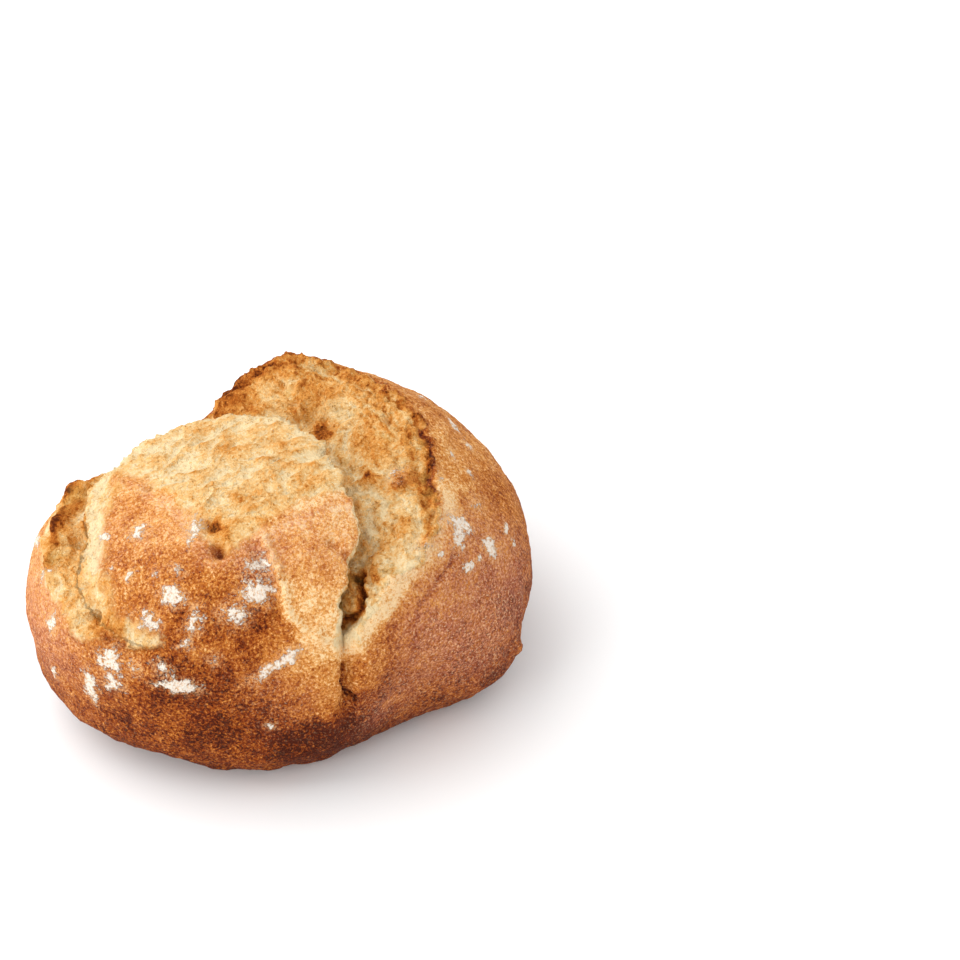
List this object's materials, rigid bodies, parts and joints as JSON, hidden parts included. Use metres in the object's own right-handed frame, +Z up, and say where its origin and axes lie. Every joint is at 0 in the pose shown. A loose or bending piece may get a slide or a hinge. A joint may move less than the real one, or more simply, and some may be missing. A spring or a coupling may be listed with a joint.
{
  "type": "bread roll",
  "caption": "Crusty bread roll with a rounded, slightly three-cornered body on a flat base, split by a horseshoe tear around its risen crown.",
  "frame": {"origin": "middle of the roll's outline seen from above, on the surface that it rests on", "axes": "+X along the roll's long side towards the swollen end beside the tear, +Z up through the crown, +Y towards the raised rim of the torn skin"},
  "size_m": [0.1092, 0.0942, 0.0597],
  "materials": {
    "crust": "baked golden-brown crust, matt and floury, with pale torn crumb along the tear"
  },
  "bodies": {
    "root": {"bread_roll": "crust"}
  },
  "joints": []
}
